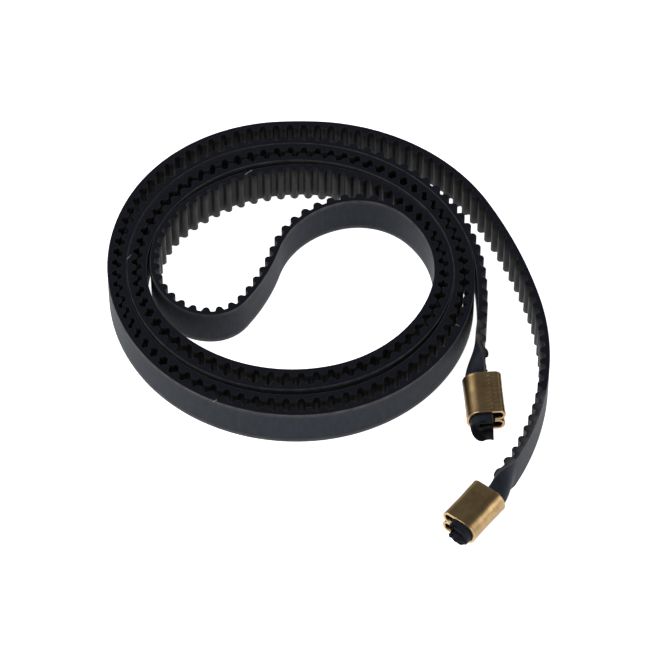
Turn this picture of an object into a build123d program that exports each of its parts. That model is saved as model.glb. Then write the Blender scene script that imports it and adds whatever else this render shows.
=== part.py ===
from build123d import *
import os
from math import cos, sin, radians, degrees, pi, ceil

# Open-ended 2 mm pitch timing belt, folded in half with its teeth together and
# coiled up standing on edge, with a brass ferrule crimped over each curled end.
# Millimetres. +Z is up, the belt stands on z = 0, and -Y is the near side.

# ---------- belt section
PITCH = 2.0                # tooth to tooth along the cord line
WIDTH = 6.0                # belt width, which is its height as it stands
BACK = 0.376               # cord line to the smooth back
LAND = 0.254               # cord line to the bottom of the tooth gaps
TOOTH = 0.75               # tooth height above the land
TIP_R = 0.555              # round tip of a tooth
SHOULDER = 0.50            # half width of a tooth where the tip turns into the flank
ROOT = 0.67                # half width of a tooth at the land
FACING = 0.08              # nylon cloth over the toothed side
SKIN = 0.05                # how much narrower the rubber tooth is under the cloth, each side
CORD_D = 0.26              # glass-fibre tension cords
CORD_COUNT = 7
CORD_STEP = 0.80
CORD_PLAY = 0.01           # cord to its channel in the rubber
SLIT = 0.30                # gap between belt lengths where the tail can flex
MID_Z = WIDTH / 2

# ---------- how the belt lies, from the middle of the fold outward
# Each pair is (radius of the cord line, degrees turned), clockwise from above when positive.
FOLD_MIDDLE = (-15.665, 1.225)   # puts the whole belt square over the origin
FOLD_HEADING = 3.9
LONG_STRAND = [
    (6.96, 45), (10.30, 45), (13.99, 45), (22.77, 45),
    (21.81, 60), (17.23, 60), (23.01, 60), (22.67, 60), (20.75, 60), (22.96, 60),
    (25.05, 60), (23.30, 60), (24.35, 60), (25.80, 60), (27.23, 60), (24.35, 60),
    (51.02, 6), (28.86, 59), (70.49, 15), (37.57, 52),
]
SHORT_STRAND = [
    (5.65, -50), (29.70, -20),
    (12.61, 60), (9.64, 60), (14.04, 60), (19.56, 60), (22.21, 60), (17.03, 60), (20.76, 60),
    (23.22, 60), (19.94, 60), (22.59, 60), (23.86, 60), (22.71, 60), (22.95, 60), (25.87, 60),
    (25.75, 39.4), (49.46, 11.6), (37.44, -11),
]

# ---------- curled and crimped ends
CURL_RUN = 5.5             # length over which the flat belt curls up, to the nearest tooth gap
CURL_ARC = 3.36            # width of belt that bends, the rest stays as two straight arms
CURL_SHIFT = 1.4           # how far the back bulges out of line when fully curled
CURL_STATIONS = 7          # sections the curl is drawn through
RIB_SQUASH = 0.06          # tooth height lost where the belt is rolled up
RIB_SINK = 0.08            # how far a tooth of the curled end roots into the belt
CURL_TRIM = 0.04           # each edge of the belt draws in this much as it rolls up
FERRULE_LENGTH = 6.9
FERRULE_HEIGHT = 3.9
FERRULE_WIDTH = 5.3
SHEET = 0.42               # brass sheet
LIP = 0.45                 # straight part of each sheet edge folded back inside
LIP_GAP = 0.10             # seam between the two lips
STUB = 2.3                 # belt past the ferrule
MARK_DEPTH = 0.05          # shallow cross marks pressed into one flat, in two columns
MARK_COUNT = 9
MARK_WIDTH = 0.80
MARK_LINES = (-1.20, -0.20)   # middle of each column, from where the sheet bends into the seam
MARK_THICK = 0.30

os.makedirs("parts", exist_ok=True)


# ---------- the line the belt follows
def lay(heading, turns):
    """Tangent arcs laid end to end from the fold, as dictionaries."""
    arcs = []
    x, y = FOLD_MIDDLE
    run = 0.0
    for radius, turned in turns:
        side = -1 if turned > 0 else 1
        start = radians(heading)
        centre_x = x - side * radius * sin(start)
        centre_y = y + side * radius * cos(start)
        arcs.append({"run": run, "radius": radius, "side": side, "start": start,
                     "cx": centre_x, "cy": centre_y})
        heading -= turned
        end = radians(heading)
        x = centre_x + side * radius * sin(end)
        y = centre_y - side * radius * cos(end)
        run += radius * radians(abs(turned))
    return arcs, run


LONG_ARCS, LONG_LENGTH = lay(FOLD_HEADING + 180, LONG_STRAND)
SHORT_ARCS, SHORT_LENGTH = lay(FOLD_HEADING, SHORT_STRAND)
# s runs along the whole belt: negative on the long-tailed strand, zero at the fold
JOINTS_IN_LINE = [-arc["run"] for arc in LONG_ARCS] + [arc["run"] for arc in SHORT_ARCS]
JOINTS_IN_LINE = sorted(set(JOINTS_IN_LINE))


def frame_at(s):
    """Point on the cord line and heading, in radians, towards the short-tailed end."""
    arcs = SHORT_ARCS if s >= 0 else LONG_ARCS
    out = abs(s)
    arc = [one for one in arcs if one["run"] <= out + 1e-9][-1]
    heading = arc["start"] + arc["side"] * (out - arc["run"]) / arc["radius"]
    x = arc["cx"] + arc["side"] * arc["radius"] * sin(heading)
    y = arc["cy"] - arc["side"] * arc["radius"] * cos(heading)
    if s < 0:
        heading += pi
    return x, y, heading


def spot(s, off=0.0):
    """Point at s along the belt, off mm from the cord line towards the teeth."""
    x, y, heading = frame_at(s)
    return (x - off * sin(heading), y + off * cos(heading))


def rail(s0, s1, off):
    """Arcs that keep a constant distance from the cord line."""
    cuts = [s0] + [cut for cut in JOINTS_IN_LINE if s0 + 0.02 < cut < s1 - 0.02] + [s1]
    return [ThreePointArc(spot(low, off), spot((low + high) / 2, off), spot(high, off))
            for low, high in zip(cuts, cuts[1:])]


def teeth_between(s0, s1):
    """Centres of the whole teeth on this length; teeth sit at odd millimetres."""
    first = ceil((s0 + ROOT - 1) / PITCH)
    centres = []
    s = 1 + first * PITCH
    while s + ROOT < s1 - 1e-6:
        centres.append(s)
        s += PITCH
    return centres


def toothed_rail(s0, s1, under):
    """Lines of the toothed side; under is 0 for the cloth and FACING for the rubber below it."""
    land = LAND - under
    narrow = SKIN * under / FACING
    knee = LAND + TOOTH - TIP_R + (TIP_R ** 2 - SHOULDER ** 2) ** 0.5 - under
    tip = LAND + TOOTH - under
    edges = []
    here = s0
    for tooth in teeth_between(s0, s1):
        left, right = tooth - ROOT + narrow, tooth + ROOT - narrow
        left_knee, right_knee = tooth - SHOULDER + narrow, tooth + SHOULDER - narrow
        edges += rail(here, left, land)
        edges.append(Line(spot(left, land), spot(left_knee, knee)))
        edges.append(ThreePointArc(spot(left_knee, knee), spot(tooth, tip), spot(right_knee, knee)))
        edges.append(Line(spot(right_knee, knee), spot(right, land)))
        here = right
    return edges + rail(here, s1, land)


# ---------- flat belt: rubber, cords and tooth facing
def cord_heights():
    lowest = MID_Z - CORD_STEP * (CORD_COUNT - 1) / 2
    return [lowest + CORD_STEP * n for n in range(CORD_COUNT)]


def cord_bundle(s0, s1):
    x, y, heading = frame_at(s0)
    line = rail(s0, s1, 0.0)
    with BuildPart() as bundle:
        for z in cord_heights():
            with BuildLine(Plane.XY.offset(z)) as path:
                add(line)
            start = Plane(origin=(x, y, z), x_dir=(0, 0, 1), z_dir=(cos(heading), sin(heading), 0))
            with BuildSketch(start):
                Circle(CORD_D / 2)
            sweep(path=path.wires()[0])
    return bundle.part


def rubber_length(s0, s1):
    """Rubber of one length, with a square channel for each cord."""
    half = CORD_D / 2 + CORD_PLAY
    outline = rail(s0, s1, -BACK) + toothed_rail(s0, s1, FACING)
    outline.append(Line(spot(s0, -BACK), spot(s0, LAND - FACING)))
    outline.append(Line(spot(s1, -BACK), spot(s1, LAND - FACING)))
    channel = rail(s0, s1, -half) + rail(s0, s1, half)
    channel.append(Line(spot(s0, -half), spot(s0, half)))
    channel.append(Line(spot(s1, -half), spot(s1, half)))
    with BuildPart() as rubber:
        with BuildSketch(Plane.XY):
            with BuildLine():
                add(outline)
            make_face()
        extrude(amount=WIDTH)
        for z in cord_heights():
            with BuildSketch(Plane.XY.offset(z - half)):
                with BuildLine():
                    add(channel)
                make_face()
            extrude(amount=2 * half, mode=Mode.SUBTRACT)
    return rubber.part


def facing_length(s0, s1):
    outline = toothed_rail(s0, s1, 0.0) + toothed_rail(s0, s1, FACING)
    outline.append(Line(spot(s0, LAND), spot(s0, LAND - FACING)))
    outline.append(Line(spot(s1, LAND), spot(s1, LAND - FACING)))
    with BuildPart() as facing:
        with BuildSketch(Plane.XY):
            with BuildLine():
                add(outline)
            make_face()
        extrude(amount=WIDTH)
    return facing.part


# ---------- curled ends
def curl_frame(s):
    """Section plane at s: its X points to the teeth, its Y points up."""
    x, y, heading = frame_at(s)
    return Plane(origin=(x, y, 0), x_dir=(-sin(heading), cos(heading), 0),
                 z_dir=(cos(heading), sin(heading), 0))


def curled_point(curl, off, across):
    """Section point of a belt curled by curl (0 to 1), at across mm from its middle."""
    radius = CURL_ARC / (pi * curl)
    crown = -CURL_SHIFT * curl
    bend = min(max(across / radius, -pi * curl / 2), pi * curl / 2)
    arm = across - bend * radius
    q = crown + radius - (radius - off) * cos(bend) + abs(arm) * sin(abs(bend))
    z = MID_Z + (radius - off) * sin(bend) + arm * cos(bend)
    return (q, z)


def curled_band(curl, inner_off, outer_off):
    """Outline of the section between two distances from the cord line."""
    half, knee = WIDTH / 2 - CURL_TRIM, CURL_ARC / 2
    edges = []
    for off in (inner_off, outer_off):
        edges.append(Line(curled_point(curl, off, -half), curled_point(curl, off, -knee)))
        edges.append(ThreePointArc(curled_point(curl, off, -knee), curled_point(curl, off, 0),
                                   curled_point(curl, off, knee)))
        edges.append(Line(curled_point(curl, off, knee), curled_point(curl, off, half)))
    for edge in (-half, half):
        edges.append(Line(curled_point(curl, inner_off, edge), curled_point(curl, outer_off, edge)))
    return edges


def flat_end(entry, sign):
    """Where the flat belt ends: the tooth gap nearest CURL_RUN before the ferrule."""
    return sign * PITCH * round((abs(entry) - CURL_RUN) / PITCH)


def curl_at(share):
    """How far the belt has curled, at this share of the way from flat to the ferrule."""
    t = min(max(share, 0.0), 1.0)
    return 0.02 + 0.98 * t * t * (3 - 2 * t)


def end_frame(entry, sign, distance):
    """Section plane, distance mm past the flat part; straight on once inside the ferrule."""
    run = abs(entry - flat_end(entry, sign))
    if distance <= run:
        return curl_frame(entry - sign * (run - distance))
    mouth = curl_frame(entry)
    return mouth.offset(sign * (distance - run))


def curled_end(entry, sign):
    """Rubber of one curled end: it curls up, then runs straight through the ferrule."""
    run = abs(entry - flat_end(entry, sign))
    reach = run + FERRULE_LENGTH + STUB
    stations = [run * n / CURL_STATIONS for n in range(CURL_STATIONS + 1)]
    sections = [(end_frame(entry, sign, at), curled_band(curl_at(at / run), LAND, -BACK))
                for at in stations]
    full = curled_band(1.0, LAND, -BACK)
    ribs = []
    tooth = PITCH / 2
    while tooth < reach - SHOULDER:
        band = curled_band(curl_at(tooth / run), LAND + TOOTH - RIB_SQUASH, LAND - RIB_SINK)
        ribs.append((end_frame(entry, sign, tooth), band))
        tooth += PITCH
    with BuildPart() as end:
        for plane, outline in sections:
            with BuildSketch(plane):
                with BuildLine():
                    add(outline)
                make_face()
        loft(ruled=True)
        with BuildSketch(curl_frame(entry)):
            with BuildLine():
                add(full)
            make_face()
        extrude(amount=sign * (FERRULE_LENGTH + STUB))
        for plane, outline in ribs:
            with BuildSketch(plane):
                with BuildLine():
                    add(outline)
                make_face()
            extrude(amount=SHOULDER, both=True)
        for across in end_cord_places():
            with BuildSketch(curl_frame(entry)):
                with Locations(curled_point(1.0, 0.0, across)):
                    Circle(CORD_D / 2 + CORD_PLAY)
            extrude(amount=sign * (FERRULE_LENGTH + STUB), mode=Mode.SUBTRACT)
    return end.part


def end_cord_places():
    return [z - MID_Z for z in cord_heights()]


def end_cords(entry, sign):
    with BuildPart() as cords:
        for across in end_cord_places():
            with BuildSketch(curl_frame(entry)):
                with Locations(curled_point(1.0, 0.0, across)):
                    Circle(CORD_D / 2)
            extrude(amount=sign * (FERRULE_LENGTH + STUB))
    return cords.part


# ---------- ferrules
def ferrule(entry, sign, marked):
    """Sheet brass rolled round the belt, its two edges folded back in along the seam.

    marked is 1 for cross marks on the upper flat and -1 for the lower one.
    """
    outer = FERRULE_HEIGHT / 2
    inner = outer - SHEET
    crown = -CURL_SHIFT - BACK - SHEET
    lobe = (outer - LIP_GAP / 2) / 2
    bend = crown + FERRULE_WIDTH - lobe
    lip_end = bend - LIP
    with BuildPart() as shell:
        with BuildSketch(curl_frame(entry)):
            with BuildLine():
                middle = crown + outer
                for up in (1, -1):
                    Line((middle, MID_Z + up * outer), (bend, MID_Z + up * outer))
                    ThreePointArc((bend, MID_Z + up * outer), (bend + lobe, MID_Z + up * (outer - lobe)),
                                  (bend, MID_Z + up * (outer - 2 * lobe)))
                    Line((bend, MID_Z + up * LIP_GAP / 2), (lip_end, MID_Z + up * LIP_GAP / 2))
                    Line((lip_end, MID_Z + up * LIP_GAP / 2), (lip_end, MID_Z + up * (LIP_GAP / 2 + SHEET)))
                    Line((lip_end, MID_Z + up * (LIP_GAP / 2 + SHEET)),
                         (bend, MID_Z + up * (LIP_GAP / 2 + SHEET)))
                    ThreePointArc((bend, MID_Z + up * (LIP_GAP / 2 + SHEET)),
                                  (bend + lobe - SHEET, MID_Z + up * (outer - lobe)),
                                  (bend, MID_Z + up * inner))
                    Line((bend, MID_Z + up * inner), (middle, MID_Z + up * inner))
                ThreePointArc((middle, MID_Z - outer), (crown, MID_Z), (middle, MID_Z + outer))
                ThreePointArc((middle, MID_Z - inner), (crown + SHEET, MID_Z), (middle, MID_Z + inner))
            make_face()
        extrude(amount=sign * FERRULE_LENGTH)
        mouth = curl_frame(entry)
        step = FERRULE_LENGTH / (MARK_COUNT + 1)
        for n in range(MARK_COUNT):
            across = mouth.offset(sign * step * (n + 1))
            with BuildSketch(across):
                for column in MARK_LINES:
                    with Locations((bend + column, MID_Z + marked * outer)):
                        Rectangle(MARK_WIDTH, 2 * MARK_DEPTH)
            extrude(amount=MARK_THICK / 2, both=True, mode=Mode.SUBTRACT)
    return shell.part


# ---------- lengths of belt, by where they lie
LONG_FLEX = (-362.0, -378.0, -396.0)
SHORT_FLEX = (322.0, 330.0)
LONG_ENTRY, SHORT_ENTRY = -LONG_LENGTH, SHORT_LENGTH
LONG_FLAT, SHORT_FLAT = flat_end(LONG_ENTRY, -1), flat_end(SHORT_ENTRY, 1)
GAP = SLIT / 2

LENGTHS = {
    "turn_1": (LONG_FLEX[0] + GAP, -244.0),
    "turn_3": (-244.0, -112.0),
    "turn_5": (-112.0, 0.0),
    "turn_4": (0.0, 160.0),
    "turn_2": (160.0, SHORT_FLEX[0] - GAP),
    "long_tail_1": (LONG_FLEX[1] + GAP, LONG_FLEX[0] - GAP),
    "long_tail_2": (LONG_FLEX[2] + GAP, LONG_FLEX[1] - GAP),
    "long_tail_3": (LONG_FLAT, LONG_FLEX[2] - GAP),
    "short_tail_1": (SHORT_FLEX[0] + GAP, SHORT_FLEX[1] - GAP),
    "short_tail_2": (SHORT_FLEX[1] + GAP, SHORT_FLAT),
}

if __name__ == "__main__":
    for place, (low, high) in LENGTHS.items():
        for layer, piece in (("rubber", rubber_length(low, high)),
                             ("cords", cord_bundle(low, high)),
                             ("facing", facing_length(low, high))):
            piece.label = layer + "_" + place
            export_step(piece, "parts/" + piece.label + ".step", write_pcurves=False)

    for name, entry, sign, marked in (("long", LONG_ENTRY, -1, -1), ("short", SHORT_ENTRY, 1, 1)):
        for layer, piece in (("rubber", curled_end(entry, sign)),
                             ("cords", end_cords(entry, sign)),
                             ("ferrule", ferrule(entry, sign, marked))):
            piece.label = layer + "_" + name + "_end" if layer != "ferrule" else "ferrule_" + name
            export_step(piece, "parts/" + piece.label + ".step", write_pcurves=False)
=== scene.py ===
from math import asin, atan2, cos, pi, radians, sin, tan

import bpy
import numpy as np
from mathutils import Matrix, Vector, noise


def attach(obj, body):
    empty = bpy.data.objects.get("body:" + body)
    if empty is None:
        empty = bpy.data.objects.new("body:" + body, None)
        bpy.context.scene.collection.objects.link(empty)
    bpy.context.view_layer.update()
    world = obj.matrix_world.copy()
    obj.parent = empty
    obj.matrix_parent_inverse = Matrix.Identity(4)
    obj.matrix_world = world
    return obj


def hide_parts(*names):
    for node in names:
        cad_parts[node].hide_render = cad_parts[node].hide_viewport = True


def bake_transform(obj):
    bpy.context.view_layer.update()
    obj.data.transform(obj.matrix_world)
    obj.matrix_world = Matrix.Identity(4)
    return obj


# Open-ended timing belt, folded double and coiled on edge, with a crimped brass
# ferrule on each curled end. Metres, in the CAD frame. s runs along the belt: negative
# on the long-tailed strand, zero at the fold, positive on the short-tailed strand.
MM = 0.001

# ---------- belt section
PITCH = 2.0 * MM
WIDTH = 6.0 * MM
BACK = 0.376 * MM          # cord line to the smooth back
LAND = 0.254 * MM          # cord line to the bottom of the tooth gaps
TOOTH = 0.75 * MM
TIP_R = 0.555 * MM
SHOULDER = 0.50 * MM       # half width where the tip turns into the flank
ROOT = 0.67 * MM           # half width where the flank would meet the land
ROOT_R = 0.15 * MM
FACING = 0.08 * MM         # nylon cloth on the toothed side
CORD_D = 0.26 * MM
CORD_COUNT = 7
CORD_STEP = 0.80 * MM
BACK_EDGE = 0.07 * MM      # rounding of the back's two long edges
CLOTH_EDGE = 0.03 * MM
MID_Z = WIDTH / 2
TIP_POINTS = 5
ROOT_POINTS = 4

# ---------- skin of the flat belt
BACK_INSET = 0.8 * MM      # the back's rows of points start this far in from its edges
BACK_ROWS = 6
EDGE_SHARES = (0.35, 0.7, 1.0)  # points across each cut edge, from the back to the teeth
EDGE_DIP = 0.018 * MM      # the upper cut edge isn't perfectly level
EDGE_DIP_LENGTH = 9 * MM
EDGE_SEED = 3.1
NEAR_TOP = 5.5 * MM        # points above this follow the upper edge
CLOTH_DIP = 0.004 * MM     # the cloth ends this much below the rubber
SHARP_ANGLE = radians(42)
BACK_PAINT, CUT_PAINT, CLOTH_PAINT = 0, 1, 2

# ---------- how the belt lies: (radius of the cord line in mm, degrees turned clockwise)
# These numbers weren't chosen by hand: scratch programs fitted the radii, the fold's place and
# heading and a few of the turns to the photograph. part.py holds the same two lists.
FOLD_MIDDLE = (-15.665 * MM, 1.225 * MM)
FOLD_HEADING = 3.9
LONG_STRAND = [
    (6.96, 45), (10.30, 45), (13.99, 45), (22.77, 45),
    (21.81, 60), (17.23, 60), (23.01, 60), (22.67, 60), (20.75, 60), (22.96, 60),
    (25.05, 60), (23.30, 60), (24.35, 60), (25.80, 60), (27.23, 60), (24.35, 60),
    (51.02, 6), (28.86, 59), (70.49, 15), (37.57, 52),
]
SHORT_STRAND = [
    (5.65, -50), (29.70, -20),
    (12.61, 60), (9.64, 60), (14.04, 60), (19.56, 60), (22.21, 60), (17.03, 60), (20.76, 60),
    (23.22, 60), (19.94, 60), (22.59, 60), (23.86, 60), (22.71, 60), (22.95, 60), (25.87, 60),
    (25.75, 39.4), (49.46, 11.6), (37.44, -11),
]

# ---------- curled and crimped ends
CURL_RUN = 5.5 * MM        # length over which the flat belt curls up, to the nearest tooth gap
CURL_ARC = 3.36 * MM       # width of belt that bends
CURL_SHIFT = 1.4 * MM      # how far the back bulges out of line when curled
CURL_TRIM = 0.04 * MM
FLATTEN = 0.40 * MM        # each arm is pressed this much wider by the crimp
CRIMP_RUN = 2 * MM         # the pressing grows over this length
RIB_SQUASH = 0.06 * MM
ACROSS = 33                # points across the back, and across the teeth
BACK_SHARE = 0.99          # the back is this much of the width between its edges
EDGE_OFF = 0.55            # the cut edge's middle point, as a share of the way from cords to back
FERRULE_LENGTH = 6.9 * MM
FERRULE_HEIGHT = 3.9 * MM
FERRULE_WIDTH = 5.3 * MM
SHEET = 0.42 * MM
LIP = 0.45 * MM
LIP_GAP = 0.10 * MM
STUB = 2.3 * MM
MARK_DEPTH = 0.04 * MM
MARK_COUNT = 9
MARK_LINES = (-1.20 * MM, -0.20 * MM)
BAR_HALF = 0.20 * MM       # half the width of one crimp bar
BAR_SOFT = 0.09 * MM
COLUMN_HALF = 0.43 * MM    # half the length of one crimp bar
COLUMN_SOFT = 0.20 * MM
MOUTH_ROWS = (0, 0.03, 0.08, 0.16, 0.3)  # millimetres in from each mouth
MOUTH_END = 0.42 * MM      # even rows of points begin here
FERRULE_ROWS = 100
THINNING = 0.35            # share by which the sheet thins at its sheared edges
THIN_RUN = 0.14 * MM
FLARE = 0.05 * MM          # each mouth opens by this much
FLARE_RUN = 0.6 * MM
WAIST = 0.035 * MM         # the middle is drawn in by this much
DENT = 0.018 * MM          # unevenness of the sheet
DENT_GRAIN = 700           # noise scale per metre
BRIGHT_RUN = 0.22 * MM     # sheared brass shows this far in from each mouth
SECTION_STEP = 0.15        # millimetres between section points, for the material only
TEAR = 2.3 * MM            # the torn end starts this far back
TORN_HOLLOW = 0.55 * MM
TORN_RAGGED = 0.5          # millimetres
TORN_GRAIN = 1100          # noise scale per metre
TORN_MOST = 0.93           # share of TEAR that may be cut back
CORD_INSET = 0.3 * MM      # the cords stop this far inside the curl's start and the far mouth
CORD_ROWS = 40
CORD_SIDES = 10
CROWN = -CURL_SHIFT - BACK - SHEET                  # outside of the ferrule's closed side
FULL_LOBE = (FERRULE_HEIGHT / 2 - LIP_GAP / 2) / 2  # outer radius of each fold beside the seam
SEAM_BEND = CROWN + FERRULE_WIDTH - FULL_LOBE       # centre of those folds

# ---------- stray fibres
FIBRE_R = 0.018 * MM
FIBRE_BEND = 0.12          # millimetres the middle is moved along X and Y
FIBRE_LIFT = 0.02          # millimetres above the belt's top edge

# ---------- where the tails flex
LONG_FLEX = (-362.0 * MM, -378.0 * MM, -396.0 * MM)
SHORT_FLEX = (322.0 * MM, 330.0 * MM)
FLEX_RUN = 2.4 * MM        # how far each side of a flex the start and end points are put

# ---------- camera: long lens, looking down from the near side. Its elevation and distance were
# fitted to the photograph together with the route.
CAMERA_ELEVATION = radians(51.47)
CAMERA_DISTANCE = 550.95 * MM
CAMERA_TARGET = Vector((0.465, -1.825, 6.0)) * MM
LENS_MM = 218.90
SENSOR_MM = 36


# ---------- the line the belt follows
def lay(heading, turns):
    """Tangent arcs end to end from the fold: run so far, radius, side, heading, centre."""
    arcs = []
    x, y = FOLD_MIDDLE
    run = 0.0
    for radius, turned in turns:
        radius = radius * MM
        side = -1 if turned > 0 else 1
        start = radians(heading)
        centre_x = x - side * radius * sin(start)
        centre_y = y + side * radius * cos(start)
        arcs.append((run, radius, side, start, centre_x, centre_y))
        heading -= turned
        end = radians(heading)
        x = centre_x + side * radius * sin(end)
        y = centre_y - side * radius * cos(end)
        run += radius * radians(abs(turned))
    return np.array(arcs), run


LONG_ARCS, LONG_LENGTH = lay(FOLD_HEADING + 180, LONG_STRAND)
SHORT_ARCS, SHORT_LENGTH = lay(FOLD_HEADING, SHORT_STRAND)


def follow(s):
    """Cord line points and headings for distances s; straight on past either end."""
    s = np.asarray(s, float)
    x, y, heading = np.empty(s.shape), np.empty(s.shape), np.empty(s.shape)
    for arcs, length, here in ((LONG_ARCS, LONG_LENGTH, s < 0), (SHORT_ARCS, SHORT_LENGTH, s >= 0)):
        out = np.abs(s[here])
        past = np.maximum(out - length, 0.0)
        out = np.minimum(out, length)
        arc = arcs[np.searchsorted(arcs[:, 0], out, side="right") - 1]
        run, radius, side, start, centre_x, centre_y = arc.T
        h = start + side * (out - run) / radius
        x[here] = centre_x + side * radius * np.sin(h) + past * np.cos(h)
        y[here] = centre_y - side * radius * np.cos(h) + past * np.sin(h)
        heading[here] = h
    heading = np.where(s < 0, heading + pi, heading)
    return x, y, heading


def place(s, off, z):
    """Points s along the belt, off towards the teeth and z above the floor."""
    s, off, z = np.broadcast_arrays(s, off, z)
    x, y, heading = follow(s)
    return np.stack([x - off * np.sin(heading), y + off * np.cos(heading), z], -1)


# ---------- mesh helpers
def add_object(name, data):
    made = bpy.data.objects.new(name, data)
    bpy.context.scene.collection.objects.link(made)
    return made


def joined(name, pieces):
    with bpy.context.temp_override(active_object=pieces[0], selected_editable_objects=pieces):
        bpy.ops.object.join()
    pieces[0].name = name
    return pieces[0]


def swept(name, points, along, paint, materials, rim=None):
    """Closed skin through rows of points that each go once round a section.

    along holds each point's (distance along, height) in millimetres for the materials,
    paint the material number of each strip round the section, rim a mask of edges drawn lighter: a painted
    highlight on the belt's long edges, bright sheared brass on a ferrule."""
    rows, around = points.shape[:2]
    index = np.arange(rows * around).reshape(rows, around)
    near, far = index[:-1], index[1:]
    quads = np.stack([near, np.roll(near, -1, 1), np.roll(far, -1, 1), far], -1).reshape(-1, 4)
    flat = points.reshape(-1, 3)
    a, b, c, d = (flat[quads[:, k]] for k in range(4))
    volume = (np.cross(a, b) * c).sum() + (np.cross(a, c) * d).sum()
    caps = [index[0][::-1].tolist(), index[-1].tolist()]
    faces = quads.tolist() + caps
    if volume < 0:
        faces = [face[::-1] for face in faces]
    mesh = bpy.data.meshes.new(name)
    mesh.from_pydata(flat.tolist(), [], faces)
    numbers = np.tile(np.asarray(paint, np.int32), rows - 1).tolist() + [paint[0]] * len(caps)
    mesh.polygons.foreach_set("material_index", numbers)
    corner = np.empty(len(mesh.loops), np.int32)
    mesh.loops.foreach_get("vertex_index", corner)
    layer = mesh.uv_layers.new(name="along")
    layer.data.foreach_set("uv", along.reshape(-1, 2)[corner].astype(np.float32).ravel())
    if rim is not None:
        mask = mesh.attributes.new("rim", "FLOAT", "POINT")
        mask.data.foreach_set("value", np.broadcast_to(rim, (rows, around)).astype(np.float32).ravel())
    for material in materials:
        mesh.materials.append(material)
    mesh.polygons.foreach_set("use_smooth", [True] * len(mesh.polygons))
    mesh.update()
    mesh.set_sharp_from_angle(angle=SHARP_ANGLE)
    return add_object(name, mesh)


def wander(values, size, seed):
    """Smooth repeatable unevenness from -1 to 1 for each value along a line."""
    return np.array([noise.noise(Vector((v / size, seed, 0.37 * seed))) for v in np.ravel(values)])


# ---------- tooth profile
def tooth_outline():
    """One pitch of the toothed side from mid gap to mid gap: (along, height) pairs."""
    tip_centre = LAND + TOOTH - TIP_R
    knee = asin(SHOULDER / TIP_R)
    knee_height = tip_centre + TIP_R * cos(knee)
    lean = atan2(knee_height - LAND, ROOT - SHOULDER)
    reach = ROOT_R * tan(lean / 2)
    tip = [(TIP_R * sin(a), tip_centre + TIP_R * cos(a)) for a in np.linspace(0, knee, TIP_POINTS)]
    root = [(ROOT + reach - ROOT_R * sin(a), LAND + ROOT_R - ROOT_R * cos(a))
            for a in np.linspace(lean, 0, ROOT_POINTS)]
    half = tip + root
    left = [(-along, height) for along, height in reversed(half[1:])]
    return np.array([(-PITCH / 2, LAND)] + left + half)


def under_cloth(outline):
    """The same outline drawn in by the cloth's thickness."""
    before = np.roll(outline, 1, 0)
    after = np.roll(outline, -1, 0)
    before[0, 0] -= PITCH
    after[-1, 0] += PITCH
    run = after - before
    run /= np.hypot(run[:, 0], run[:, 1])[:, None]
    return outline - FACING * np.stack([-run[:, 1], run[:, 0]], -1)


OUTLINE = tooth_outline()
INNER = under_cloth(OUTLINE)


def stations(outline, s0, s1):
    """Distances and heights of the toothed side from s0 to s1, both middles of gaps."""
    count = round((s1 - s0) / PITCH)
    centres = s0 + PITCH / 2 + PITCH * np.arange(count)
    s = (centres[:, None] + outline[None, :, 0]).ravel()
    height = np.tile(outline[:, 1], count)
    return np.append(s, s1), np.append(height, outline[0, 1])


def edge_dip(s):
    """How far the upper cut edge dips below the full width at distances s."""
    return np.abs(EDGE_DIP * wander(s, EDGE_DIP_LENGTH, EDGE_SEED))


# ---------- flat lengths of belt
def rubber_piece(name, s0, s1, materials):
    """Rubber of one length: back, two cut edges, and the side the cloth lies on."""
    s, height = stations(INNER, s0, s1)
    low, high = 0.0, WIDTH
    soft = BACK_EDGE * (1 - cos(pi / 4))
    corner = [(BACK_EDGE, 0.0), (soft, soft), (0.0, BACK_EDGE)]
    back = [(-BACK + across, low + up) for across, up in corner]
    back += [(-BACK, z) for z in np.linspace(BACK_INSET, WIDTH - BACK_INSET, BACK_ROWS)]
    back += [(-BACK + across, high - up) for across, up in reversed(corner)]
    rows = len(s)
    around = len(back) + 2 * len(EDGE_SHARES)
    off = np.empty((rows, around))
    z = np.empty_like(off)
    for k, (across, up) in enumerate(back):
        off[:, k] = across
        z[:, k] = up
    first = len(back)
    start = -BACK + BACK_EDGE
    for k, share in enumerate(EDGE_SHARES):
        off[:, first + k] = start + share * (height - start)
        z[:, first + k] = high
        off[:, around - 1 - k] = off[:, first + k]
        z[:, around - 1 - k] = low
    z = np.where(z > NEAR_TOP, z - edge_dip(s)[:, None], z)
    cut_edge = [CUT_PAINT] * len(EDGE_SHARES)
    paint = [BACK_PAINT] * (first - 1) + cut_edge + [BACK_PAINT] + cut_edge
    # the rounded back corners, where a highlight is painted
    rim = np.zeros(around)
    rim[[1, 2, len(back) - 3, len(back) - 2]] = 1.0
    spread = np.repeat(s[:, None], around, 1)
    along = np.stack([spread, z], -1) / MM
    return swept(name, place(spread, off, z), along, paint, materials, rim)


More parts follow.
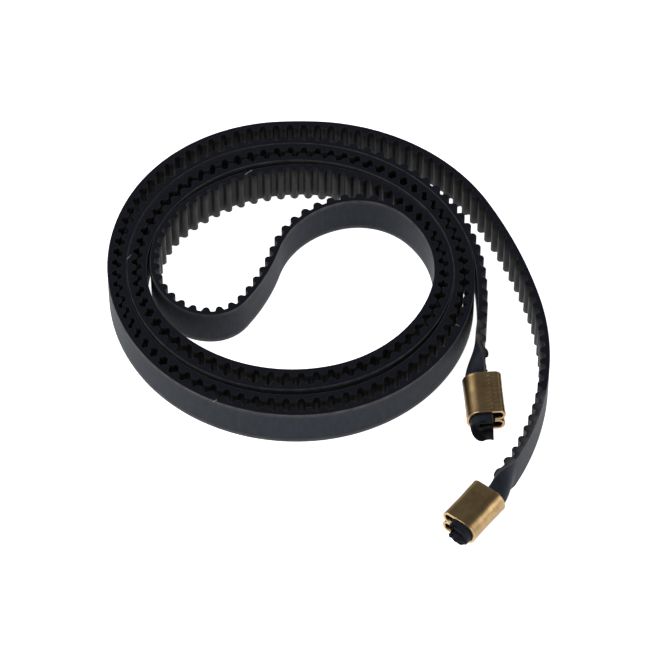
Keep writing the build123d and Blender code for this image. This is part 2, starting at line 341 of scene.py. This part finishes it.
def facing_piece(name, s0, s1, material):
    """Nylon cloth of one length, following the teeth."""
    s_out, h_out = stations(OUTLINE, s0, s1)
    s_in, h_in = stations(INNER, s0, s1)
    ups = [CLOTH_EDGE, WIDTH * 0.25, WIDTH * 0.5, WIDTH * 0.75, WIDTH - CLOTH_EDGE]
    s, off, z = [], [], []
    for up in ups:
        s.append(s_out)
        off.append(h_out)
        z.append(np.full(len(s_out), up))
    for share, up in ((0.3, WIDTH), (1.0, WIDTH), (1.0, 0.0), (0.3, 0.0)):
        s.append(s_out + share * (s_in - s_out))
        off.append(h_out + share * (h_in - h_out))
        z.append(np.full(len(s_out), up))
    s, off, z = np.stack(s, 1), np.stack(off, 1), np.stack(z, 1)
    z = np.where(z > NEAR_TOP, z - (edge_dip(s_out) + CLOTH_DIP)[:, None], z)
    along = np.stack([s, z], -1) / MM
    # the cloth's edges, where a faint highlight is painted
    rim = np.array([0.6, 0, 0, 0, 0.6, 1.0, 1.0, 1.0, 1.0])
    return swept(name, place(s, off, z), along, [0] * off.shape[1], [material], rim)


# ---------- curled ends
def curled(curl, off, across):
    """Section point (towards the teeth, up) of a belt curled by curl, 0 to 1."""
    curl = np.maximum(curl, 0.005)
    radius = CURL_ARC / (pi * curl)
    crown = -CURL_SHIFT * curl
    bend = np.clip(across / radius, -pi * curl / 2, pi * curl / 2)
    arm = across - bend * radius
    q = crown + radius - (radius - off) * np.cos(bend) + np.abs(arm) * np.sin(np.abs(bend))
    z = MID_Z + (radius - off) * np.sin(bend) + arm * np.cos(bend)
    return q, z


def curl_run(entry):
    """Distance from the tooth gap where the flat belt ends to the ferrule."""
    return abs(entry) - PITCH * round((abs(entry) - CURL_RUN) / PITCH)


def curl_at(distance, entry):
    t = np.clip(distance / curl_run(entry), 0.0, 1.0)
    return t * t * (3 - 2 * t)


def end_points(entry, sign, distance, q, z):
    """World points of section points, distance past the start of the curl."""
    return place(entry + sign * (distance - curl_run(entry)), q, z)


def curled_end(name, entry, sign, start, materials, torn):
    """Belt from the flat cut at start through the curl and the ferrule to its torn end.

    torn is (noise seed, length added to the stub, and how far the upper arm, the lower arm
    and the crown are cut back), in mm.
    """
    seed, added, upper_cut, lower_cut, crown_cut = torn
    reach = curl_run(entry) + FERRULE_LENGTH + STUB + added * MM
    first = -(abs(entry) - curl_run(entry) - abs(start))
    count = int((reach - first) / PITCH) + 1
    centres = first + PITCH / 2 + PITCH * np.arange(count)
    distance = (centres[:, None] + OUTLINE[None, :, 0]).ravel()
    height = np.tile(OUTLINE[:, 1], count)
    keep = distance <= reach
    distance, height = distance[keep], height[keep]
    squash = RIB_SQUASH * curl_at(distance, entry)
    height = np.minimum(height, LAND + TOOTH - squash)
    curl = curl_at(distance, entry)[:, None]
    crimped = np.clip((distance[:, None] - curl_run(entry)) / CRIMP_RUN, 0, 1)
    half = WIDTH / 2 - CURL_TRIM * curl + FLATTEN * crimped
    share = np.linspace(-1, 1, ACROSS)[None, :]
    back_q, back_z = curled(curl, -BACK, half * share * BACK_SHARE)
    edge_q, edge_z = curled(curl, -BACK * EDGE_OFF, half * np.array([[-1.0, 1.0]]))
    tooth_q, tooth_z = curled(curl, height[:, None], half * share[:, ::-1])
    q = np.concatenate([edge_q[:, :1], back_q, edge_q[:, 1:], tooth_q], 1)
    z = np.concatenate([edge_z[:, :1], back_z, edge_z[:, 1:], tooth_z], 1)
    around = q.shape[1]
    spread = np.repeat(distance[:, None], around, 1)
    # the torn end is uneven: rows near it are pulled back by a different amount round the section
    tear = np.clip((spread - (reach - TEAR)) / TEAR, 0, 1)
    ragged = np.array([noise.noise(Vector((a * TORN_GRAIN, b * TORN_GRAIN, seed)))
                       for a, b in zip(q[-1], z[-1])])
    height_share = np.clip((z[-1] - MID_Z) / (FERRULE_HEIGHT / 2), -1, 1)
    pulled = np.where(height_share > 0, upper_cut, lower_cut) * np.abs(height_share)
    pulled = pulled + crown_cut * (1 - np.abs(height_share))
    # the toothed inside is cut back further than the smooth back, which leaves a hollow
    inside = np.zeros(around)
    inside[ACROSS + 3:around - 1] = 1
    pulled = pulled + TORN_HOLLOW / MM * inside
    pulled = np.clip(pulled + TORN_RAGGED * ragged, 0.0, TORN_MOST * TEAR / MM)
    spread = spread - tear * pulled[None, :] * MM
    points = end_points(entry, sign, spread, q, z)
    full = WIDTH / MM
    across = np.concatenate([[0], np.linspace(0, full, ACROSS), [full], np.linspace(full, 0, ACROSS)])
    along = np.stack([spread / MM, np.broadcast_to(across, spread.shape)], -1)
    paint = [CUT_PAINT] + [BACK_PAINT] * (ACROSS - 1) + [CUT_PAINT] * 2
    paint += [CLOTH_PAINT] * (ACROSS - 1) + [CUT_PAINT]
    # the back's edges, where a highlight is painted
    rim = np.zeros(around)
    rim[[0, 1, ACROSS, ACROSS + 1]] = 1.0
    return swept(name, points, along, paint, materials, rim)


def yarn(name, rows, material):
    """Several round cords joined in one piece; rows is (cord, station, 3) points."""
    meshes = []
    turn = np.linspace(0, 2 * pi, CORD_SIDES, endpoint=False)
    for k, line in enumerate(rows):
        run = np.gradient(line, axis=0)
        run /= np.linalg.norm(run, axis=1)[:, None]
        side = np.cross(run, [0, 0, 1.0])
        side /= np.linalg.norm(side, axis=1)[:, None]
        up = np.cross(side, run)
        ring = side[:, None] * np.cos(turn)[None, :, None] + up[:, None] * np.sin(turn)[None, :, None]
        points = line[:, None] + CORD_D / 2 * ring
        spread = np.cumsum(np.linalg.norm(np.diff(line, axis=0, prepend=line[:1]), axis=1))
        along = np.stack(np.broadcast_arrays(spread[:, None], turn[None] * CORD_D / 2), -1) / MM
        meshes.append(swept(f"{name}_{k}", points, along, [0] * CORD_SIDES, [material]))
    return joined(name, meshes)


def end_cords(name, entry, sign, material):
    """The tension cords of a curled end, from its start to just inside the ferrule's far mouth."""
    distance = np.linspace(CORD_INSET, curl_run(entry) + FERRULE_LENGTH - CORD_INSET, CORD_ROWS)
    lowest = -CORD_STEP * (CORD_COUNT - 1) / 2
    rows = []
    for n in range(CORD_COUNT):
        q, z = curled(curl_at(distance, entry), 0.0, lowest + CORD_STEP * n)
        rows.append(end_points(entry, sign, distance, q, z))
    return yarn(name, rows, material)


# ---------- ferrules
def sheet_line():
    """Middle of the folded sheet in section, from one inner lip round to the other."""
    outer = FERRULE_HEIGHT / 2 - SHEET / 2
    lobe = FULL_LOBE - SHEET / 2
    middle = CROWN + FERRULE_HEIGHT / 2
    upper = [(q, LIP_GAP / 2 + SHEET / 2) for q in np.linspace(SEAM_BEND - LIP, SEAM_BEND, 5)[:-1]]
    upper += [(SEAM_BEND + lobe * sin(a), FERRULE_HEIGHT / 2 - FULL_LOBE - lobe * cos(a))
              for a in np.linspace(0, pi, 15)]
    upper += [(q, outer) for q in np.linspace(SEAM_BEND, middle, 40)[1:]]
    upper += [(middle - outer * sin(a), outer * cos(a)) for a in np.linspace(0, pi / 2, 14)[1:]]
    lower = [(q, -z) for q, z in reversed(upper[:-1])]
    return np.array(upper + lower)


def crimp_marks(along, q, side):
    """Depth of the two columns of shallow bars pressed into one flat beside the seam."""
    step = FERRULE_LENGTH / (MARK_COUNT + 1)
    phase = np.abs(along / step - np.round(along / step)) * step
    bar = np.clip((BAR_HALF - phase) / BAR_SOFT, 0, 1)
    bar = bar * (along > step / 2) * (along < FERRULE_LENGTH - step / 2)
    column = 0.0
    for line in MARK_LINES:
        column = column + np.clip((COLUMN_HALF - np.abs(q - SEAM_BEND - line)) / COLUMN_SOFT, 0, 1)
    return MARK_DEPTH * bar * np.clip(column, 0, 1) * side


def ferrule(name, entry, sign, material, seed, marked):
    """Sheet brass rolled round the belt, both edges folded back in along the seam.

    marked is 1 for crimp marks on the upper flat and -1 for the lower one.
    """
    line = sheet_line()
    run = np.gradient(line, axis=0)
    run /= np.hypot(run[:, 0], run[:, 1])[:, None]
    outward = np.stack([-run[:, 1], run[:, 0]], -1)
    if outward[len(line) // 2, 0] > 0:
        outward = -outward
    mouth = np.array(MOUTH_ROWS) * MM
    along = np.concatenate([mouth, np.linspace(MOUTH_END, FERRULE_LENGTH - MOUTH_END, FERRULE_ROWS),
                            FERRULE_LENGTH - mouth[::-1]])
    near = np.minimum(along, FERRULE_LENGTH - along)
    thick = 1 - THINNING * np.clip(1 - near / THIN_RUN, 0, 1) ** 2
    flare = FLARE * np.clip(1 - near / FLARE_RUN, 0, 1) ** 2
    waist = -WAIST * np.sin(pi * along / FERRULE_LENGTH) ** 2
    q = line[:, 0]
    flat_top = (marked * line[:, 1] > FERRULE_HEIGHT / 2 - SHEET).astype(float)
    dent = np.array([[noise.noise(Vector((a * DENT_GRAIN, b * DENT_GRAIN, seed))) for b in q] for a in along])
    rings = []
    for face in (1, -1):
        lift = face * SHEET / 2 * thick[:, None] + flare[:, None] + waist[:, None] + DENT * dent
        if face > 0:
            lift = lift - crimp_marks(along[:, None], q[None, :], flat_top[None, :])
        section = line[None] + lift[..., None] * outward[None]
        rings.append(section if face > 0 else section[:, ::-1])
    section = np.concatenate(rings, 1)
    distance = curl_run(entry) + along
    points = end_points(entry, sign, np.broadcast_to(distance[:, None], section.shape[:2]),
                        section[..., 0], MID_Z + section[..., 1])
    spread = np.concatenate([np.arange(len(q)), np.arange(len(q))[::-1]]) * SECTION_STEP
    map_along = np.stack(np.broadcast_arrays(along[:, None] / MM, spread[None, :]), -1)
    around = section.shape[1]
    edge = np.clip(1 - near / BRIGHT_RUN, 0, 1)[:, None] * np.ones(around)
    lips = np.zeros(around)
    lips[[0, len(q) - 1, len(q), around - 1]] = 1
    return swept(name, points, map_along, [0] * around, [material], np.maximum(edge, lips))


# ---------- stray glass fibres on the cut edges
def fibre(name, points, thickness, material):
    curve = bpy.data.curves.new(name, "CURVE")
    curve.dimensions = "3D"
    curve.bevel_depth = thickness
    curve.bevel_resolution = 2
    curve.use_fill_caps = True
    line = curve.splines.new("NURBS")
    line.points.add(len(points) - 1)
    for point, place_at in zip(line.points, points):
        point.co = (*place_at, 1.0)
    line.order_u = 3
    line.use_endpoint_u = True
    piece = add_object(name, curve)
    piece.data.materials.append(material)
    bpy.context.view_layer.update()
    mesh = bpy.data.meshes.new_from_object(piece)
    bpy.data.objects.remove(piece)
    return add_object(name, mesh)


# ---------- materials
def new_material(name):
    material = bpy.data.materials.new(name)
    material.use_nodes = True
    nodes = material.node_tree.nodes
    shader = nodes["Principled BSDF"]
    return material, material.node_tree, shader


def node(tree, kind, **values):
    made = tree.nodes.new(kind)
    for key, value in values.items():
        if key in made.inputs:
            made.inputs[key].default_value = value
        else:
            setattr(made, key, value)
    return made


def noise_of(tree, vector, scale, detail=3.0, rough=0.55):
    made = node(tree, "ShaderNodeTexNoise", Scale=scale, Detail=detail, Roughness=rough)
    tree.links.new(vector, made.inputs["Vector"])
    return made.outputs["Fac"]


def belt_space(tree, across=1.0, along=1.0):
    """Coordinates that follow the belt, stretched as asked."""
    uv = node(tree, "ShaderNodeUVMap", uv_map="along")
    mapping = node(tree, "ShaderNodeMapping")
    mapping.inputs["Scale"].default_value = (along, across, 1.0)
    tree.links.new(uv.outputs["UV"], mapping.inputs["Vector"])
    return mapping.outputs["Vector"]


def object_space(tree):
    return node(tree, "ShaderNodeTexCoord").outputs["Object"]


def bands_of(tree, vector, direction, scale, distortion, detail=1.0):
    """Height of evenly spaced threads or twists."""
    made = node(tree, "ShaderNodeTexWave", wave_type="BANDS", bands_direction=direction,
                Scale=scale, Distortion=distortion, Detail=detail)
    tree.links.new(vector, made.inputs["Vector"])
    return made.outputs["Fac"]


def blend_colours(tree, share, dark, light):
    ramp = node(tree, "ShaderNodeValToRGB")
    ramp.color_ramp.elements[0].position = 0.3
    ramp.color_ramp.elements[0].color = (*dark, 1)
    ramp.color_ramp.elements[1].position = 0.72
    ramp.color_ramp.elements[1].color = (*light, 1)
    tree.links.new(share, ramp.inputs["Fac"])
    return ramp.outputs["Color"]


def range_of(tree, share, low, high):
    made = node(tree, "ShaderNodeMapRange")
    made.inputs["To Min"].default_value = low
    made.inputs["To Max"].default_value = high
    tree.links.new(share, made.inputs["Value"])
    return made.outputs["Result"]


def bump_chain(tree, shader, layers):
    """Bump layers, each (height socket, distance in metres, strength)."""
    normal = None
    for height, distance, strength in layers:
        bump = node(tree, "ShaderNodeBump", Strength=strength, Distance=distance)
        tree.links.new(height, bump.inputs["Height"])
        if normal is not None:
            tree.links.new(normal, bump.inputs["Normal"])
        normal = bump.outputs["Normal"]
    tree.links.new(normal, shader.inputs["Normal"])


def mix_colours(tree, share, first, second):
    mix = node(tree, "ShaderNodeMix", data_type="RGBA")
    tree.links.new(share, mix.inputs[0])
    tree.links.new(first, mix.inputs[6])
    mix.inputs[7].default_value = (*second, 1)
    return mix.outputs[2]


def painted_rim_highlight(tree, scale):
    """Mask of the long edges where a highlight is painted, broken up by noise."""
    mask = node(tree, "ShaderNodeAttribute", attribute_name="rim")
    patchy = noise_of(tree, belt_space(tree, 0.6, 0.5), scale, 4.0)
    times = node(tree, "ShaderNodeMath", operation="MULTIPLY")
    tree.links.new(mask.outputs["Fac"], times.inputs[0])
    tree.links.new(range_of(tree, patchy, -0.25, 1.3), times.inputs[1])
    times.use_clamp = True
    return times.outputs[0]


def rubber_back():
    """Ground back of the belt: satin black with a blue cast, fine lines across the width."""
    material, tree, shader = new_material("rubber_back")
    cloudy = noise_of(tree, belt_space(tree, 0.35, 0.12), 1.0, 4.0)
    colour = blend_colours(tree, cloudy, (0.0078, 0.0110, 0.0175), (0.0130, 0.0165, 0.0240))
    scuffs = noise_of(tree, belt_space(tree, 0.5, 1.4), 1.0, 5.0)
    colour = mix_colours(tree, range_of(tree, scuffs, -0.55, 0.85), colour, (0.0240, 0.0280, 0.0350))
    # painted highlight along the back's two long edges
    colour = mix_colours(tree, painted_rim_highlight(tree, 1.2), colour, (0.105, 0.093, 0.087))
    tree.links.new(colour, shader.inputs["Base Color"])
    lines = noise_of(tree, belt_space(tree, 0.25, 9.0), 1.6, 3.0)
    grain = noise_of(tree, belt_space(tree, 14.0, 14.0), 1.0, 2.0)
    specks = noise_of(tree, belt_space(tree, 4.0, 4.0), 1.3, 2.0)
    tree.links.new(range_of(tree, cloudy, 0.48, 0.64), shader.inputs["Roughness"])
    shader.inputs["Specular IOR Level"].default_value = 0.11
    bump_chain(tree, shader, [(lines, 0.020 * MM, 0.6), (specks, 0.030 * MM, 0.5), (grain, 0.010 * MM, 0.5)])
    return material


def rubber_cut():
    """Slit edge of the belt: duller and darker, with faint knife lines along it."""
    material, tree, shader = new_material("rubber_cut_edge")
    cloudy = noise_of(tree, belt_space(tree, 1.0, 0.5), 1.0, 4.0)
    colour = blend_colours(tree, cloudy, (0.0030, 0.0040, 0.0080), (0.0056, 0.0070, 0.0125))
    # painted highlight along the cut edge's rims
    colour = mix_colours(tree, painted_rim_highlight(tree, 1.6), colour, (0.090, 0.080, 0.078))
    tree.links.new(colour, shader.inputs["Base Color"])
    space = object_space(tree)
    grain = noise_of(tree, space, 9000.0, 2.0)
    nicks = noise_of(tree, space, 1800.0, 3.0)
    tree.links.new(range_of(tree, nicks, 0.52, 0.78), shader.inputs["Roughness"])
    shader.inputs["Specular IOR Level"].default_value = 0.10
    bump_chain(tree, shader, [(nicks, 0.02 * MM, 0.5), (grain, 0.008 * MM, 0.5)])
    return material


def nylon():
    """Tooth facing: fine black twill cloth with a soft sheen."""
    material, tree, shader = new_material("tooth_facing")
    cloudy = noise_of(tree, belt_space(tree, 0.4, 0.4), 1.0, 3.0)
    colour = blend_colours(tree, cloudy, (0.0070, 0.0071, 0.0085), (0.0120, 0.0118, 0.0130))
    streaks = noise_of(tree, belt_space(tree, 0.12, 3.2), 1.0, 3.0)
    colour = mix_colours(tree, range_of(tree, streaks, 1.1, -0.5), colour, (0.0040, 0.0040, 0.0048))
    # faint painted highlight along the cloth's edges
    colour = mix_colours(tree, painted_rim_highlight(tree, 1.4), colour, (0.0095, 0.0092, 0.0105))
    tree.links.new(colour, shader.inputs["Base Color"])
    weave = bands_of(tree, belt_space(tree), "DIAGONAL", 9.0, 0.6)
    threads = bands_of(tree, belt_space(tree), "Y", 5.0, 0.8)
    tree.links.new(range_of(tree, cloudy, 0.42, 0.58), shader.inputs["Roughness"])
    shader.inputs["Specular IOR Level"].default_value = 0.20
    shader.inputs["Sheen Weight"].default_value = 0.05
    shader.inputs["Sheen Roughness"].default_value = 0.4
    bump_chain(tree, shader, [(weave, 0.010 * MM, 0.4), (threads, 0.008 * MM, 0.35)])
    return material


def sheet_brass():
    """Rolled brass: satin with drawing lines, tarnish, and bright sheared edges."""
    material, tree, shader = new_material("sheet_brass")
    space = object_space(tree)
    tarnish = noise_of(tree, space, 420.0, 5.0, 0.6)
    colour = blend_colours(tree, tarnish, (0.225, 0.142, 0.068), (0.430, 0.305, 0.145))
    edge = node(tree, "ShaderNodeAttribute", attribute_name="rim")
    colour = mix_colours(tree, edge.outputs["Fac"], colour, (0.46, 0.32, 0.17))
    tree.links.new(colour, shader.inputs["Base Color"])
    shader.inputs["Metallic"].default_value = 1.0
    lines = noise_of(tree, belt_space(tree, 6.0, 0.35), 1.5, 4.0)
    speck = noise_of(tree, space, 2600.0, 3.0)
    tree.links.new(range_of(tree, tarnish, 0.42, 0.26), shader.inputs["Roughness"])
    bump_chain(tree, shader, [(lines, 0.015 * MM, 0.35), (speck, 0.008 * MM, 0.35)])
    return material


def glass_yarn():
    """Twisted glass-fibre cord: pale, with the twist as a fine spiral."""
    material, tree, shader = new_material("glass_yarn")
    space = object_space(tree)
    twist = bands_of(tree, space, "DIAGONAL", 1600.0, 1.0, 2.0)
    colour = blend_colours(tree, twist, (0.42, 0.41, 0.38), (0.74, 0.73, 0.69))
    tree.links.new(colour, shader.inputs["Base Color"])
    shader.inputs["Roughness"].default_value = 0.45
    bump_chain(tree, shader, [(twist, 0.02 * MM, 0.5)])
    return material


def pale_floor():
    material, _, shader = new_material("pale_floor")
    shader.inputs["Base Color"].default_value = (0.92, 0.92, 0.92, 1)
    shader.inputs["Roughness"].default_value = 0.9
    shader.inputs["Specular IOR Level"].default_value = 0.1
    shader.inputs["Emission Color"].default_value = (1, 1, 1, 1)
    shader.inputs["Emission Strength"].default_value = 1.00
    return material


# ---------- studio
def add_light(name, where, aim, size, power, colour=(1, 1, 1)):
    lamp = bpy.data.lights.new(name, "AREA")
    lamp.shape = "RECTANGLE"
    lamp.size, lamp.size_y = size
    lamp.energy = power
    lamp.color = colour
    holder = add_object(name, lamp)
    holder.location = where
    holder.rotation_euler = (Vector(aim) - Vector(where)).to_track_quat("-Z", "Y").to_euler()


def studio():
    world = bpy.data.worlds.new("studio")
    bpy.context.scene.world = world
    world.use_nodes = True
    tree = world.node_tree
    background = tree.nodes["Background"]
    direction = tree.nodes.new("ShaderNodeTexCoord")
    split = tree.nodes.new("ShaderNodeSeparateXYZ")
    tree.links.new(direction.outputs["Generated"], split.inputs[0])
    ramp = tree.nodes.new("ShaderNodeValToRGB")
    ramp.color_ramp.elements[0].position = 0.05
    ramp.color_ramp.elements[0].color = (1, 1, 1, 1)
    ramp.color_ramp.elements[1].position = 0.55
    ramp.color_ramp.elements[1].color = (0.15, 0.155, 0.17, 1)
    tree.links.new(split.outputs["Z"], ramp.inputs["Fac"])
    tree.links.new(ramp.outputs["Color"], background.inputs["Color"])
    background.inputs["Strength"].default_value = 1.0
    add_light("key", (-0.5, 0.1, 0.6), (0, 0, 0), (0.5, 0.5), 4.0)
    add_light("fill", (0.6, -0.2, 0.35), (0, 0, 0), (0.4, 0.4), 1.5)

    floor = bpy.data.meshes.new("floor")
    reach = 3.0
    corners = [(-reach, -reach, 0), (reach, -reach, 0), (reach, reach, 0), (-reach, reach, 0)]
    floor.from_pydata(corners, [], [(0, 1, 2, 3)])
    floor.materials.append(pale_floor())
    ground = add_object("floor", floor)


def add_camera():
    forward = Vector((0, cos(CAMERA_ELEVATION), -sin(CAMERA_ELEVATION)))
    camera = bpy.data.cameras.new("camera")
    camera.lens = LENS_MM
    camera.sensor_width = SENSOR_MM
    camera.clip_start = 0.01
    camera.clip_end = 20
    holder = add_object("camera", camera)
    holder.location = CAMERA_TARGET - CAMERA_DISTANCE * forward
    holder.rotation_euler = (pi / 2 - CAMERA_ELEVATION, 0, 0)
    bpy.context.scene.camera = holder


# ---------- build
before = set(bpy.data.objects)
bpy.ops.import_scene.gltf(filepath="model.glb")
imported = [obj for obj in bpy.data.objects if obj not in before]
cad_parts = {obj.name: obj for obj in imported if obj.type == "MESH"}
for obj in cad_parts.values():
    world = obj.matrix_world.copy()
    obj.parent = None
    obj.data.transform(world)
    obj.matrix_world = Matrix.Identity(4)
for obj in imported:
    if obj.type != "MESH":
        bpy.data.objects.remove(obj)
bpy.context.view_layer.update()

bpy.context.scene.view_settings.view_transform = "Standard"
add_camera()
studio()
back, cut, cloth, brass, glass = rubber_back(), rubber_cut(), nylon(), sheet_brass(), glass_yarn()

# coiled lengths, which ride on the coil: (name, from, to) in millimetres along the belt
TURNS = [("turn_1", -350, -244), ("turn_3", -244, -112), ("turn_5", -112, 0),
         ("turn_4", 0, 160), ("turn_2", 160, 312)]
# lengths that each span one flex: (name, from, to, flex, body inside, body outside)
TAILS = [("long_tail_1", -370, -350, LONG_FLEX[0], "coil", "long_1"),
         ("long_tail_2", -388, -370, LONG_FLEX[1], "long_1", "long_2"),
         ("long_tail_3", -404, -388, LONG_FLEX[2], "long_2", "long_3"),
         ("short_tail_1", 312, 326, SHORT_FLEX[0], "coil", "short_1"),
         ("short_tail_2", 326, 332, SHORT_FLEX[1], "short_1", "short_2")]
ENDS = [("long_end", -LONG_LENGTH, -1, -404, "long_3", "ferrule_long", (4.2, -0.5, 0.9, 0.7, 0.9), -1),
        ("short_end", SHORT_LENGTH, 1, 332, "short_2", "ferrule_short", (9.7, 0.6, 1.5, 0.0, 2.1), 1)]

# stray glass fibres lying on the top edges: (from, to) in plan, in millimetres. A scratch program
# worked these places out from the photograph.
STRAY = [
    ((-11.60, 26.30), (-10.55, 27.15)),
    ((-27.8, 10.81), (-27.27, 11.54)),
    ((17.64, -0.95), (18.19, -1.12)),
    ((-15.37, -14.28), (-14.84, -13.94)),
]


def finish_piece(replaced):
    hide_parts(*replaced)


def flat_layers(name, low, high):
    """Rubber and cloth of one flat length: (layer, slot, piece)."""
    s0, s1 = low * MM, high * MM
    rubber = rubber_piece("look_rubber_" + name, s0, s1, [back, cut])
    facing = facing_piece("look_facing_" + name, s0, s1, cloth)
    return [("rubber", "belt_rubber", rubber), ("facing", "tooth_facing", facing)]


for name, low, high in TURNS:
    for layer, slot, piece in flat_layers(name, low, high):
        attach(piece, "coil")
        finish_piece([layer + "_" + name])

for name, low, high, flex, inside, outside in TAILS:
    outward = 1 if flex > 0 else -1
    start = place(flex - outward * FLEX_RUN, 0.0, MID_Z)
    end = place(flex + outward * FLEX_RUN, 0.0, MID_Z)
    for layer, slot, piece in flat_layers(name, low, high):
        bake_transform(piece)
        finish_piece([layer + "_" + name])

for name, entry, sign, start, body, ferrule_node, torn, marked in ENDS:
    piece = curled_end("look_rubber_" + name, entry, sign, start * MM, [back, cut, cloth], torn)
    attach(piece, body)
    finish_piece(["rubber_" + name])
    piece = end_cords("look_cords_" + name, entry, sign, glass)
    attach(piece, body)
    finish_piece(["cords_" + name])
    piece = ferrule("look_" + ferrule_node, entry, sign, brass, torn[0], marked)
    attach(piece, body)
    finish_piece([ferrule_node])

flecks = []
for n, (start, end) in enumerate(STRAY):
    middle = [(a + b) / 2 + FIBRE_BEND for a, b in zip(start, end)]
    line = [Vector((x, y, WIDTH / MM + FIBRE_LIFT)) * MM for x, y in (start, middle, end)]
    flecks.append(fibre(f"fibre_{n}", line, FIBRE_R, glass))
joined("look_stray_fibres", flecks)
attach(flecks[0], "coil")

# the carried-over cords inside the belt take the yarn's finish
for name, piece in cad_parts.items():
    if name.startswith("cords_"):
        piece.data.materials.clear()
        piece.data.materials.append(glass)
